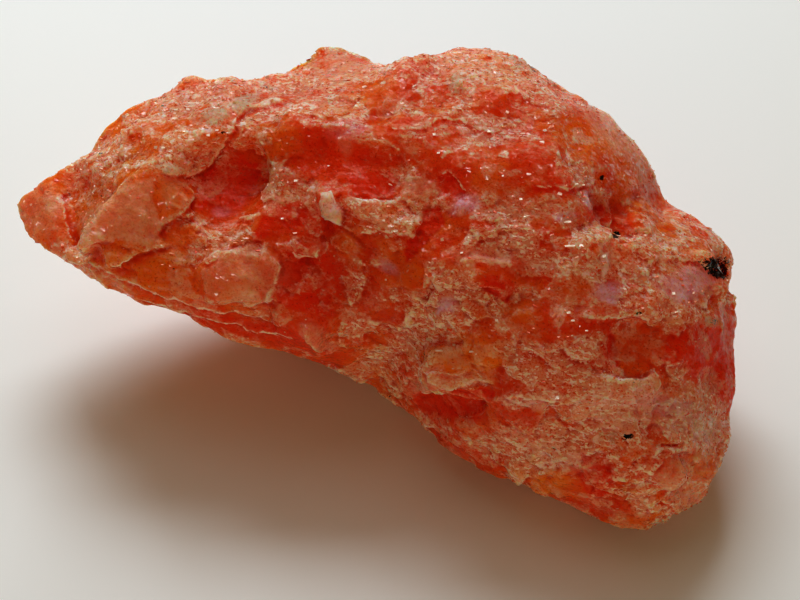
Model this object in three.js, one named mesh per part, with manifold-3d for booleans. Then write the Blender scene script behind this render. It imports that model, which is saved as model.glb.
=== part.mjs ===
// A rough lump of red sylvite, broken out of a coarse crystalline bed.
// Millimetres, +Z up, X along the stone's length, origin under the middle of its bounding box.
// It is one natural piece: a blunt body resting on a cleaved underside, with a thinner wing held clear of the table.
import * as THREE from "three";
import { ImprovedNoise } from "three/addons/math/ImprovedNoise.js";
import { TessellateModifier } from "three/addons/modifiers/TessellateModifier.js";
import { mergeVertices } from "three/addons/utils/BufferGeometryUtils.js";
import Module from "manifold-3d";

// How the stone lies. Its broad face leans back, and is drawn square-on: a to the right, b up the face, c out of it.
const faceLift = 50; // degrees above the table from which the broad face is seen square-on
const faceHeight = 15; // height above the table of the point a = b = c = 0
const lengthTurn = 18; // degrees about Z that bring the stone's length onto X

// How finely it is broken
const longestEdge = 2.7; // no triangle edge is longer before the surface is roughened
const smoothing = { rounds: 1, share: 0.35 };
const lumps = { width: 11, height: 0.75 }; // rolling unevenness
const grains = { width: 6.5, step: 0.55, tilt: 0.15 }; // crystal grains that broke at their own level and tilt
const pimples = { width: 2.6, height: 0.16 }; // fine roughness
const tableCut = 0.35; // the grains that reach below this height are worn flat where it rests

// The rim of the broad face, clockwise from the nose: [a, b, height above the table]
const noseRim = [
  [-43.3, 9.4, 17],
  [-42, 11.6, 19.5],
  [-39.9, 12.3, 21],
  [-38.7, 14.2, 22],
  [-38, 16.3, 21.5],
  [-35.5, 15.1, 23],
];
const wingTopRim = [
  [-32.8, 18.7, 24],
  [-28.6, 22.7, 26],
  [-22.8, 24.8, 28],
  [-17.4, 24.1, 30],
  [-11, 25.3, 30],
];
const crestRim = [
  [-9.4, 27.9, 29],
  [-6.5, 29.2, 29],
  [-3.3, 28.1, 30],
  [-0.7, 27.2, 31],
  [5.2, 27.8, 32],
  [10.3, 28.2, 32],
  [16.1, 27.2, 32],
  [18.8, 25.6, 31],
];
const shoulderRim = [
  [21.9, 23, 31],
  [26.3, 20.3, 30],
  [29.1, 16.9, 27],
  [31.9, 13.4, 23],
  [32.8, 10.5, 21],
  [36.7, 8, 21],
  [40, 5.2, 19],
];
const endRim = [
  [41.4, 2.6, 17],
  [40.5, 0.1, 16],
  [41.1, -2.6, 15],
  [40.9, -6.6, 14],
  [40.3, -10.9, 12],
  [39.6, -14, 10],
  [39.6, -17.3, 9],
  [37.5, -20.4, 7],
  [35.8, -23.7, 5],
  [32.7, -26.4, 4],
];
const lowerRim = [
  [29.3, -26.7, 4],
  [24.7, -25.8, 4],
  [19.2, -23.7, 5],
  [13, -21.2, 5],
  [7.9, -18.9, 5],
  [3.4, -15.6, 6],
  [-1, -11.6, 7],
  [-5.8, -9.8, 9],
  [-11.9, -7.2, 12],
  [-19.3, -4.4, 15],
  [-25.7, -1.9, 17],
  [-31.9, 0.2, 18],
  [-37.3, 3.1, 18],
  [-41.8, 5.9, 17],
];

// The relief of the broad face: [a, b, c], its crests, hollows and turns
const noseFace = [
  [-38.5, 10, 0],
  [-35.3, 9.5, -0.6],
  [-34.8, 6.2, 0.4],
];
const wingFace = [
  [-29, 11.5, 6.2],
  [-25, 14.2, 7],
  [-32, 6.6, 4.6],
  [-21.8, 8.6, 8.4],
  [-19, 13.2, 5.4],
  [-17.2, 18.4, 5.6],
  [-26.4, 19.2, 1.6],
  [-15, 9.2, 8.2],
  [-23, 3.4, 8.8],
];
const wingLowerEdge = [
  [-36.4, 5, 2.2],
  [-31.2, 2.4, 6],
  [-25.4, 0.5, 7.8],
  [-19.2, -1.4, 9],
  [-12.8, -2.6, 10.2],
  [-8, -5.4, 10.4],
];
const middleFace = [
  [-9.2, 4.6, 11.2],
  [-5.8, 9.8, 12.2],
  [-5.8, 18.4, 9],
  [-5.8, 23.8, 3.4],
  [2.3, 16, 12],
  [2.3, 21.8, 7],
  [9.2, 23, 7.5],
  [10.4, 13.8, 14],
  [10.4, 5.8, 16],
  [2.3, 0, 13.2],
  [-3.5, -2.3, 9.8],
  [2.3, -6.9, 8.6],
  [11.5, -2.3, 16.2],
];
const bodyFace = [
  [19.6, 20.7, 8],
  [19.6, 16, 13],
  [25.3, 13.8, 10.2],
  [30, 11, 5.4],
  [20.7, 5.8, 17.2],
  [30, 4.6, 13.2],
  [37, 4.4, 7],
  [35.6, -1.2, 10.4],
  [38.4, -5.8, 8.4],
  [30, -3.5, 16.2],
  [20.7, -3.5, 18],
  [8, -9.4, 12.6],
  [13.8, -11, 15.2],
  [10, -14.8, 9.6],
  [18.4, -16.2, 14],
  [18.4, -10.4, 17.4],
  [27.6, -11.5, 17.4],
  [35.6, -10.4, 12.4],
  [35.6, -17.3, 12],
  [27.6, -18.4, 15.4],
  [31, -24, 12],
  [23, -21.8, 12.2],
];

// The hidden side, as it lies on the table: [x, y, height]. The first ring is the flat that it rests on.
const restingFace = [
  [-8, 8, 0],
  [-7, 14, 0],
  [0, 3.5, 0],
  [9, -6.5, 0],
  [20, -13.5, 0],
  [30, -17.5, 0],
  [35.5, -11, 0],
  [35, 0, 0],
  [24, 9, 0],
  [8, 13, 0],
  [14, 0, 0],
  [26, -5, 0],
];
const wingUnderside = [
  [-38.2, 12.6, 15.5],
  [-39.6, 9.6, 15],
  [-20, 5, 9.5],
  [-20, 14, 8],
  [-31, 8, 13],
  [-32, 15, 14],
  [-26, 20, 19],
  [-14, 12, 3.5],
];
const backSide = [
  [-10, 22, 21],
  [-10, 20, 8],
  [0, 21, 12],
  [10, 24, 20],
  [10, 19, 5],
  [20, 20, 17],
  [27, 16, 15],
  [29, 12, 4],
  [38, 3, 10],
  [38.5, -7, 4],
];

// Plates of cleavage that stand proud of the broad face. Each has its corners [a, b] on the face, how far its top
// stands out there, how thick it is, and how it leans: degrees about a and about b.
const plates = {
  wingFlake: {
    corners: [
      [-34.9, 4.4],
      [-31.8, 5.4],
      [-30.4, 2.6],
      [-29.2, 2.6],
      [-26.1, 5.2],
      [-24.4, 7.6],
      [-21.7, 9],
      [-21.3, 11],
      [-23, 14],
      [-25.4, 14.6],
      [-30, 10.6],
      [-33, 7.6],
    ],
    out: 0.9,
    thick: 3,
    lean: [-7, -5],
  },
  wingSlab: {
    corners: [
      [-20.8, 2.3],
      [-18.2, 4],
      [-12.2, 3.7],
      [-11.2, 2.1],
      [-12.7, -1.4],
      [-19.3, -1.4],
    ],
    out: 0.5,
    thick: 2.4,
    lean: [4, -7],
  },
  middleBlock: {
    corners: [
      [-4.8, 11.3],
      [1.7, 10.7],
      [5.8, 12.1],
      [6.6, 10.4],
      [5.2, 8.6],
      [4.3, 5.9],
      [2.3, 6.7],
      [-3.6, 8.8],
    ],
    out: 0.7,
    thick: 2.6,
    lean: [3, 5],
  },
  paleCrystal: {
    corners: [
      [-7.3, 11.3],
      [-6, 11.8],
      [-5, 9.8],
      [-4.6, 7],
      [-5.9, 7.8],
      [-7.2, 9.7],
    ],
    out: 0.6,
    thick: 2.4,
    lean: [12, 14],
  },
  ledge: {
    corners: [
      [4.6, -11.6],
      [6.6, -12],
      [8.1, -11.2],
      [10.1, -10.7],
      [13.8, -11],
      [14.2, -9.4],
      [13.5, -7],
      [10.4, -6.2],
      [5.8, -6.8],
      [3.8, -9],
    ],
    out: 0.5,
    thick: 2.6,
    lean: [12, -6],
  },
  smoothBlock: {
    corners: [
      [9.2, 3.4],
      [16.3, 3],
      [19.2, 1.8],
      [18.6, -0.4],
      [13.8, -0.5],
      [10.2, 1],
    ],
    out: 0.5,
    thick: 2.4,
    lean: [-6, 4],
  },
  endFace: {
    corners: [
      [33.2, 4.4],
      [37.5, 3.9],
      [40, 0.8],
      [38.9, -0.8],
      [36, -2.2],
      [33.3, -0.4],
    ],
    out: 0.5,
    thick: 2.6,
    lean: [3, 10],
  },
  footPlate: {
    corners: [
      [21.4, -19.6],
      [26.8, -17.4],
      [32.8, -17.8],
      [33.6, -21.4],
      [28.6, -23.4],
      [23.4, -22.8],
    ],
    out: 0.6,
    thick: 2.4,
    lean: [7, 0],
  },
};

// Blocks that broke away along the cleavage and left flat-floored hollows, and the pit that holds a dark inclusion.
// out is how far above the face the block reached, and thick how deep it went.
const hollows = {
  underLedge: {
    corners: [
      [6, -12.2],
      [13, -11.6],
      [12.2, -13.8],
      [9.8, -14.8],
      [6.4, -14.2],
    ],
    out: 2,
    thick: 3.6,
    lean: [14, -8],
  },
  scar: {
    corners: [
      [6.6, 12.8],
      [8.4, 13.4],
      [10.6, 11.4],
      [9.6, 10.2],
      [7.3, 10.6],
    ],
    out: 1.5,
    thick: 3,
    lean: [-18, 4],
  },
  wingScar: {
    corners: [
      [-20.7, 16.1],
      [-13.6, 17.3],
      [-10.9, 14.4],
      [-13.6, 8.6],
      [-19, 6.7],
      [-21.2, 10.4],
    ],
    out: 1.5,
    thick: 2.9,
    lean: [-15, 5],
  },
  backOfBlock: {
    corners: [
      [-4.4, 14.6],
      [-1.2, 16.2],
      [2.6, 15.6],
      [3.4, 12.4],
      [1.2, 11.4],
      [-4.2, 12.2],
    ],
    out: 1.5,
    thick: 2.7,
    lean: [-16, 0],
  },
  shelf: {
    corners: [
      [23.4, 10.4],
      [29.4, 8.6],
      [28.6, 5],
      [24.6, 6],
    ],
    out: 1.5,
    thick: 2.6,
    lean: [4, 7],
  },
  smoothFace: {
    corners: [
      [25.2, -3.6],
      [32.2, -3.4],
      [32.8, -9.8],
      [28, -10.4],
      [26, -8],
    ],
    out: 2,
    thick: 3,
    lean: [-7, 9],
  },
  darkPit: {
    corners: [
      [37.6, 3.3],
      [39.6, 3.4],
      [40.4, 1.5],
      [39, 1.1],
    ],
    out: 2,
    thick: 4,
    lean: [0, 12],
  },
};

const noise = new ImprovedNoise();
const radians = THREE.MathUtils.degToRad;

// The face's own axes as they stand on the table
const lift = radians(faceLift);
const faceToTable = new THREE.Matrix4()
  .makeBasis(
    new THREE.Vector3(1, 0, 0),
    new THREE.Vector3(0, Math.sin(lift), Math.cos(lift)),
    new THREE.Vector3(0, -Math.cos(lift), Math.sin(lift)),
  )
  .setPosition(0, 0, faceHeight);
const tableToFace = faceToTable.clone().invert();

function rimPoint([a, b, height]) {
  const c = (height - faceHeight - b * Math.cos(lift)) / Math.sin(lift);
  return new THREE.Vector3(a, b, c);
}

function facePoint([a, b, c]) {
  return new THREE.Vector3(a, b, c);
}

function tablePoint([x, y, z]) {
  return new THREE.Vector3(x, y, z).applyMatrix4(tableToFace);
}

// True if (a, b) lies inside the rim
function insideRim(a, b, rim) {
  let inside = false;
  for (let i = 0, j = rim.length - 1; i < rim.length; j = i, i += 1) {
    const p = rim[i];
    const q = rim[j];
    const crosses = p.y > b !== q.y > b;
    if (crosses && a < p.x + ((b - p.y) * (q.x - p.x)) / (q.y - p.y)) inside = !inside;
  }
  return inside;
}

function circumcircle(p, q, r) {
  const d = 2 * (p.x * (q.y - r.y) + q.x * (r.y - p.y) + r.x * (p.y - q.y));
  const pp = p.x ** 2 + p.y ** 2;
  const qq = q.x ** 2 + q.y ** 2;
  const rr = r.x ** 2 + r.y ** 2;
  const x = (pp * (q.y - r.y) + qq * (r.y - p.y) + rr * (p.y - q.y)) / d;
  const y = (pp * (r.x - q.x) + qq * (p.x - r.x) + rr * (q.x - p.x)) / d;
  return { x, y, squared: (p.x - x) ** 2 + (p.y - y) ** 2 };
}

// Delaunay triangles over the points as seen square-on, kept where they lie inside the rim
function triangulate(points, rim) {
  const far = 1000;
  const corners = [
    new THREE.Vector3(-far, -far, 0),
    new THREE.Vector3(far, -far, 0),
    new THREE.Vector3(0, far, 0),
  ];
  const all = [...points, ...corners];
  const first = points.length;
  let triangles = [{ at: [first, first + 1, first + 2], circle: circumcircle(...corners) }];
  points.forEach((p, i) => {
    const opened = triangles.filter(
      ({ circle }) => (p.x - circle.x) ** 2 + (p.y - circle.y) ** 2 < circle.squared,
    );
    const edges = opened.flatMap(({ at: [u, v, w] }) => [[u, v], [v, w], [w, u]]);
    const border = edges.filter(([u, v]) => !edges.some(([s, t]) => s === v && t === u));
    triangles = triangles.filter((t) => !opened.includes(t));
    border.forEach(([u, v]) => {
      triangles.push({ at: [u, v, i], circle: circumcircle(all[u], all[v], p) });
    });
  });
  return triangles
    .map(({ at }) => at)
    .filter((at) => {
      if (at.some((i) => i >= first)) return false;
      const [p, q, r] = at.map((i) => all[i]);
      return insideRim((p.x + q.x + r.x) / 3, (p.y + q.y + r.y) / 3, rim);
    });
}

// The closed outer shape: the broad face and the hidden side, sewn along the rim
function outerShape(rim, face, hidden) {
  const frontPoints = [...rim, ...face];
  const backPoints = [...rim, ...hidden];
  const front = triangulate(frontPoints, rim);
  const back = triangulate(backPoints, rim);
  const corners = [
    ...front.flatMap((at) => at.map((i) => frontPoints[i])),
    ...back.flatMap((at) => [...at].reverse().map((i) => backPoints[i])),
  ];
  const sheet = front.map((at) => at.map((i) => frontPoints[i]));
  return { geometry: new THREE.BufferGeometry().setFromPoints(corners), sheet };
}

// How far out of the face the sheet stands at (a, b)
function faceDepth(sheet, a, b) {
  const weights = new THREE.Vector3();
  const target = new THREE.Vector3(a, b, 0);
  for (const [p, q, r] of sheet) {
    const flat = [p, q, r].map((v) => new THREE.Vector3(v.x, v.y, 0));
    THREE.Triangle.getBarycoord(target, ...flat, weights);
    if (Math.min(weights.x, weights.y, weights.z) > -1e-6) {
      return p.z * weights.x + q.z * weights.y + r.z * weights.z;
    }
  }
  throw new Error(`(${a}, ${b}) is off the face`);
}

function weld(geometry) {
  const bare = geometry.clone();
  for (const name of Object.keys(bare.attributes)) {
    if (name !== "position") bare.deleteAttribute(name);
  }
  return mergeVertices(bare, 1e-3);
}

// Each vertex moves a share of the way to the middle of its neighbours
function relax(geometry, { rounds, share }) {
  const position = geometry.attributes.position;
  const neighbours = Array.from({ length: position.count }, () => new Set());
  const index = geometry.index.array;
  for (let i = 0; i < index.length; i += 3) {
    const [p, q, r] = index.slice(i, i + 3);
    neighbours[p].add(q).add(r);
    neighbours[q].add(r).add(p);
    neighbours[r].add(p).add(q);
  }
  for (let round = 0; round < rounds; round += 1) {
    const before = neighbours.map((_, i) => new THREE.Vector3().fromBufferAttribute(position, i));
    neighbours.forEach((around, i) => {
      const middle = new THREE.Vector3();
      around.forEach((j) => middle.add(before[j]));
      middle.divideScalar(around.size);
      position.setXYZ(i, ...before[i].lerp(middle, share).toArray());
    });
  }
}

// A repeatable number from 0 to 1 for a cell of the grain lattice
function chance(x, y, z, which) {
  const mixed = Math.sin(x * 127.1 + y * 311.7 + z * 74.7 + which * 53.3) * 43758.5453;
  return mixed - Math.floor(mixed);
}

// The crystal grain that a point belongs to: how far its broken face stands out there
function grainRelief(p, { width, step, tilt }) {
  const cell = p.clone().divideScalar(width).floor();
  let nearest = Infinity;
  let relief = 0;
  for (let n = 0; n < 27; n += 1) {
    const x = cell.x + (n % 3) - 1;
    const y = cell.y + (Math.floor(n / 3) % 3) - 1;
    const z = cell.z + Math.floor(n / 9) - 1;
    const seed = new THREE.Vector3(
      x + chance(x, y, z, 1),
      y + chance(x, y, z, 2),
      z + chance(x, y, z, 3),
    ).multiplyScalar(width);
    const distance = seed.distanceTo(p);
    if (distance < nearest) {
      nearest = distance;
      const slope = new THREE.Vector3(
        chance(x, y, z, 4) - 0.5,
        chance(x, y, z, 5) - 0.5,
        chance(x, y, z, 6) - 0.5,
      ).multiplyScalar(2 * tilt);
      relief = (chance(x, y, z, 7) - 0.5) * 2 * step + slope.dot(p.clone().sub(seed));
    }
  }
  return relief;
}

function rollingRelief(p, { width, height }) {
  const q = p.clone().divideScalar(width);
  const broad = noise.noise(q.x + 3.1, q.y + 7.7, q.z + 1.3);
  const half = noise.noise(q.x * 2 + 11.3, q.y * 2 + 5.9, q.z * 2 + 8.2);
  return height * (broad + 0.5 * half);
}

// Each vertex moves along its normal by the relief of the broken surface
function roughen(geometry) {
  geometry.computeVertexNormals();
  const { position, normal } = geometry.attributes;
  for (let i = 0; i < position.count; i += 1) {
    const p = new THREE.Vector3().fromBufferAttribute(position, i);
    const n = new THREE.Vector3().fromBufferAttribute(normal, i);
    const out = rollingRelief(p, lumps) + grainRelief(p, grains) + rollingRelief(p, pimples);
    position.setXYZ(i, ...p.addScaledVector(n, out).toArray());
  }
}

const wasm = await Module();
wasm.setup();

function solidFrom(geometry) {
  const welded = weld(geometry);
  return new wasm.Manifold(
    new wasm.Mesh({
      numProp: 3,
      vertProperties: welded.attributes.position.array,
      triVerts: new Uint32Array(welded.index.array),
    }),
  );
}

function geometryFrom(solid) {
  const mesh = solid.getMesh();
  const geometry = new THREE.BufferGeometry();
  geometry.setAttribute("position", new THREE.BufferAttribute(mesh.vertProperties, 3));
  geometry.setIndex(new THREE.BufferAttribute(mesh.triVerts, 1));
  return geometry;
}

// A block of cleavage on the broad face, standing or sunk at its place there
function block({ corners, out, thick, lean }, sheet) {
  const middle = new THREE.Vector2();
  corners.forEach(([a, b]) => middle.add(new THREE.Vector2(a, b)));
  middle.divideScalar(corners.length);
  const outline = new THREE.Shape(corners.map(([a, b]) => new THREE.Vector2(a, b).sub(middle)));
  const [leanOverA, leanOverB] = lean.map(radians);
  const placed = new THREE.Matrix4()
    .makeRotationFromEuler(new THREE.Euler(leanOverA, leanOverB, 0))
    .setPosition(middle.x, middle.y, faceDepth(sheet, middle.x, middle.y) + out);
  const prism = new THREE.ExtrudeGeometry(outline, { depth: thick, bevelEnabled: false });
  return solidFrom(prism.translate(0, 0, -thick).applyMatrix4(placed));
}

// Everything below the worn height, wider than the stone
function tableSlab() {
  const reach = 200;
  return new THREE.BoxGeometry(reach, reach, reach).translate(0, 0, tableCut - reach / 2);
}

function makeStone() {
  const rim = [noseRim, wingTopRim, crestRim, shoulderRim, endRim, lowerRim].flat().map(rimPoint);
  const face = [noseFace, wingFace, wingLowerEdge, middleFace, bodyFace].flat().map(facePoint);
  const hidden = [restingFace, wingUnderside, backSide].flat().map(tablePoint);
  const { geometry, sheet } = outerShape(rim, face, hidden);
  let stone = solidFrom(geometry);
  for (const plate of Object.values(plates)) stone = stone.add(block(plate, sheet));
  for (const hollow of Object.values(hollows)) stone = stone.subtract(block(hollow, sheet));

  const broken = weld(new TessellateModifier(longestEdge, 24).modify(geometryFrom(stone)));
  roughen(broken);
  relax(broken, smoothing);
  broken.applyMatrix4(faceToTable);
  const cut = geometryFrom(solidFrom(broken).subtract(solidFrom(tableSlab())));
  cut.rotateZ(radians(lengthTurn));
  cut.computeBoundingBox();
  const middle = cut.boundingBox.getCenter(new THREE.Vector3());
  cut.translate(-middle.x, -middle.y, -cut.boundingBox.min.z);
  return cut;
}

const sylviteRed = new THREE.MeshStandardMaterial({ color: 0xc4522c, roughness: 0.42, metalness: 0 });

const stone = new THREE.Mesh(makeStone(), sylviteRed);
stone.name = "sylvite_stone";

const specimen = new THREE.Group();
specimen.add(stone);

export default specimen;
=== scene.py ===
import math

import bpy
import numpy as np
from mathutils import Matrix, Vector


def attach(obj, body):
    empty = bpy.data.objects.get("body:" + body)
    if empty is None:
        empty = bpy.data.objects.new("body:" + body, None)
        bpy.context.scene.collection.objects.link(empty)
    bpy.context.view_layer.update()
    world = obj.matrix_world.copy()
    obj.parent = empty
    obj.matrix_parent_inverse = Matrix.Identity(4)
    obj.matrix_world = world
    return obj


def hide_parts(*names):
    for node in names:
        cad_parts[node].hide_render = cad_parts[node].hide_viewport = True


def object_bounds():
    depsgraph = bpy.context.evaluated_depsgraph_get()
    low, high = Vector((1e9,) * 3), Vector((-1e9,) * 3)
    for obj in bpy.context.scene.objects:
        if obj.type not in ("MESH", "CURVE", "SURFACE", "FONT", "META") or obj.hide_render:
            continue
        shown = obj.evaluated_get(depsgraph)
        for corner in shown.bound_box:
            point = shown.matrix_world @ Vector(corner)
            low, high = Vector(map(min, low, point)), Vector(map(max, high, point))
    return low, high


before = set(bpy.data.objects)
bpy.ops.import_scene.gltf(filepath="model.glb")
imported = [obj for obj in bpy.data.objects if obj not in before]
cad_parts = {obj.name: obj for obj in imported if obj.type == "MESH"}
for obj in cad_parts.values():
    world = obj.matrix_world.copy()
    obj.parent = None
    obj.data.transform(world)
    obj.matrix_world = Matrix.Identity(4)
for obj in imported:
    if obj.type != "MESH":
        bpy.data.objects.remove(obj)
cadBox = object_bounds()
mm = 0.001

# The camera. Everything that follows the photograph is placed by its pixels, so this comes first.
photo = {
    "width": 800,
    "height": 600,
    "azimuth": 18,  # degrees round the stone
    "elevation": 50,  # degrees above the table
    "distance": 320,  # mm to the aim
    "aim": (2.82, -4.74, 13.91),  # mm, seen in the middle of the picture
    "mmPerPixel": 0.115,  # at the aim
    "sensor": 36,
}


def cameraAxes():
    a, e = math.radians(photo["azimuth"]), math.radians(photo["elevation"])
    back = np.array([math.sin(a) * math.cos(e), -math.cos(a) * math.cos(e), math.sin(e)])
    right = np.array([math.cos(a), math.sin(a), 0.0])
    return right, np.cross(back, right), back


rightward, upward, towardCamera = cameraAxes()
focal = photo["distance"] / photo["mmPerPixel"]  # pixels
eye = np.array(photo["aim"]) + towardCamera * photo["distance"]


def toPhoto(points):
    away = points - eye
    depth = -(away @ towardCamera)
    x = photo["width"] / 2 + focal * (away @ rightward) / depth
    y = photo["height"] / 2 - focal * (away @ upward) / depth
    return np.stack([x, y], 1)


def inCadBox(points):
    low, high = (np.array(corner) / mm for corner in cadBox)
    return np.clip(points, low, high)


def placed(name, data):
    made = bpy.data.objects.new(name, data)
    bpy.context.scene.collection.objects.link(made)
    return made


def newFinish(name, **looks):  # a material with plain numbers on its shader; underscores stand for spaces
    material = bpy.data.materials.new(name)
    material.use_nodes = True
    shader = material.node_tree.nodes["Principled BSDF"]
    for key, value in looks.items():
        shader.inputs[key.replace("_", " ")].default_value = value
    return material, shader


def makeCamera():
    camera = placed("camera", bpy.data.cameras.new("camera"))
    camera.data.sensor_width = photo["sensor"]
    camera.data.lens = photo["sensor"] * focal / photo["width"]
    camera.data.clip_start, camera.data.clip_end = 0.01, 10
    camera.location = Vector(eye) * mm
    camera.rotation_mode = "QUATERNION"
    camera.rotation_quaternion = Vector(-towardCamera).to_track_quat("-Z", "Y")
    bpy.context.scene.camera = camera


def wayTo(light):  # from the stone; a bearing of 0 is behind it, and a negative one is to the left
    turn = math.radians(photo["azimuth"] - light["bearing"])
    rise = math.radians(light["height"])
    return np.array([-math.sin(turn) * math.cos(rise), math.cos(turn) * math.cos(rise), math.sin(rise)])


# Repeatable noise, worked out for all points at once
def chance(cells, draw):
    x, y, z = (cells[..., i].astype(np.int64).astype(np.uint32) for i in range(3))
    h = x * np.uint32(73856093) ^ y * np.uint32(19349663) ^ z * np.uint32(83492791)
    h = h ^ np.uint32((draw * 2654435761 + 97) % 2**32)
    h = (h ^ (h >> np.uint32(16))) * np.uint32(0x7FEB352D)
    h = (h ^ (h >> np.uint32(15))) * np.uint32(0x846CA68B)
    return (h ^ (h >> np.uint32(16))) / 2**32


def dots(a, b):  # the dot product of each row
    return np.einsum("ni,ni->n", a, b)


def unit(rows):
    return rows / np.linalg.norm(rows, axis=1, keepdims=True)


def ease(t):
    t = np.clip(t, 0, 1)
    return t * t * (3 - 2 * t)


def blur(points, size, draw):  # smooth noise from -1 to 1
    q = points / size
    corner = np.floor(q)
    part = ease(q - corner)
    total = 0
    for n in range(8):
        step = np.array([n & 1, n >> 1 & 1, n >> 2 & 1])
        share = np.prod(np.where(step, part, 1 - part), 1)
        total = total + share * chance(corner + step, draw)
    return total * 2 - 1


def cloud(points, size, draw, octaves=3):
    return sum(blur(points, size / 2**k, draw + k) / 2**k for k in range(octaves)) / 1.6


def grains(points, size, draw):  # the grain each point is in, its middle, and how far its border is
    q = points / size
    home = np.floor(q)
    best = np.full(len(q), 9.0)  # cells, further than any seed
    second = best.copy()
    cell = home.copy()
    seed = home.copy()
    for n in range(27):
        near = home + np.array([n % 3 - 1, n // 3 % 3 - 1, n // 9 - 1])
        centre = near + np.stack([chance(near, draw + k) for k in range(3)], 1)
        gap = np.linalg.norm(centre - q, axis=1)
        closer = gap < best
        second = np.where(closer, best, np.minimum(second, gap))
        cell[closer] = near[closer]
        seed[closer] = centre[closer]
        best = np.where(closer, gap, best)
    return cell, seed * size, (second - best) * size / 2


# The stone's mesh
stoneMesh = {
    "voxel": 0.285,  # mm
    "backShare": 0.22,  # of the faces kept on the side that the photograph doesn't show
    "lookAway": -0.12,  # a face that looks towards the camera less than this is on that side
    "smoothRounds": 18,
    "thorn": 0.3,  # mm that a corner may stand out before it is worn down
    "thornSoft": 0.4,  # mm further out, where the wear is full
    "thornRounds": 50,
    "wornRounds": 160,
    "wear": 0.85,
    "broadRounds": 30,  # smoothing of the directions that the flat faces are raised in
    "underside": 0.6,  # mm, below which the stone rests on the table
    "proudRounds": 40,
    "edgeRounds": 3,
    "edgeHeight": 0.07,  # mm, about what an edge stands out, or a crease goes in, where its paint is full: pale on an edge, painted shade in a crease
    "wing": (8, 26),  # mm left of the middle where the wing's colour starts, and over which it comes in
}


def readOut(things, name, width, kind=float):
    values = np.empty(len(things) * width, kind)
    things.foreach_get(name, values)
    return values.reshape(-1, width)


def closedNet(mesh):
    return readOut(mesh.vertices, "co", 3) / mm, readOut(mesh.edges, "vertices", 2, np.int32)


def neighbourMean(values, ends, degree):
    total = np.zeros_like(values)
    for i, j in ((0, 1), (1, 0)):
        for k in range(values.shape[1]):
            total[:, k] += np.bincount(ends[:, i], values[ends[:, j], k], len(values))
    return total / degree[:, None]


def smooth(values, ends, degree, rounds, keepSize=True):
    for n in range(rounds):
        share = -0.53 if keepSize and n % 2 else 0.5  # every second round swells it back
        values = values + share * (neighbourMean(values, ends, degree) - values)
    return values


def normalsOf(mesh, points):
    mesh.vertices.foreach_set("co", (points * mm).ravel())
    mesh.update()
    return readOut(mesh.vertex_normals, "vector", 3)


def modified(carrier):
    bpy.context.view_layer.update()
    ready = carrier.evaluated_get(bpy.context.evaluated_depsgraph_get())
    mesh = bpy.data.meshes.new_from_object(ready)
    carrier.modifiers.clear()
    carrier.data = mesh
    return mesh


def remeshed(node):
    carrier = placed("carrier", node.data.copy())
    remesh = carrier.modifiers.new("remesh", "REMESH")
    remesh.mode = "VOXEL"
    remesh.voxel_size = stoneMesh["voxel"] * mm
    mesh = modified(carrier)
    facing = normalsOf(mesh, closedNet(mesh)[0]) @ towardCamera
    behind = carrier.vertex_groups.new(name="behind")
    lookAway = facing < stoneMesh["lookAway"]
    behind.add(np.flatnonzero(lookAway).tolist(), 1.0, "REPLACE")
    thin = carrier.modifiers.new("thin", "DECIMATE")
    thin.vertex_group = "behind"
    thin.ratio = 1 - (1 - stoneMesh["backShare"]) * float(lookAway.mean())
    mesh = modified(carrier)
    bpy.data.objects.remove(carrier)
    mesh.materials.clear()
    return mesh


# How the salt breaks: flat cleavage faces, tilted like shingles, with little cliffs between them
breakage = {
    "blocks": {"size": 5.0, "tilt": 0.10, "lift": 0.16, "stretch": 1.3, "draw": 11},
    "flakes": {"size": 2.1, "tilt": 0.24, "lift": 0.12, "stretch": 1.6, "draw": 41},
    "crumbs": {"size": 0.9, "tilt": 0.17, "lift": 0.05, "stretch": 1.4, "draw": 71},
    "clearBlocks": 0.45,  # share of the blocks that are bare and glassy
    "shingle": 0.45,  # how much the faces rise towards their lower edges
    "streakSlope": 8,  # degrees that the flakes run down to the right
    "ragged": 0.2,  # how far their borders wander, against their size
    "strength": (0.42, 0.4),  # of the relief: the least, and how much more there is in places
    "calmWear": 0.65,  # share of it that is lost on clear faces
    "topWear": 0.3,  # and along the top edge
    "topLine": ((0.1, -1), -190, 60),  # a slanting line in the picture, and the pixels over which it starts
}


def flatFaces(points, look):  # height, and each face's own tone and distance to its border
    slope = math.radians(breakage["streakSlope"])
    along = rightward * math.cos(slope) - upward * math.sin(slope)
    squeezed = points - np.outer(points @ along, along) * (1 - 1 / look["stretch"])
    ripple = [blur(points, 0.5 * look["size"], look["draw"] + 30 + k) for k in range(3)]
    squeezed = squeezed + breakage["ragged"] * look["size"] * np.stack(ripple, 1)
    cell, seed, border = grains(squeezed, look["size"], look["draw"])
    tilt = np.stack([chance(cell, look["draw"] + 10 + k) for k in range(3)], 1) * 2 - 1
    tilt -= breakage["shingle"] * upward
    height = look["tilt"] * dots(tilt, squeezed - seed)
    height += look["lift"] * (2 * chance(cell, look["draw"] + 15) - 1)
    return height, chance(cell, look["draw"] + 16), border


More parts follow.
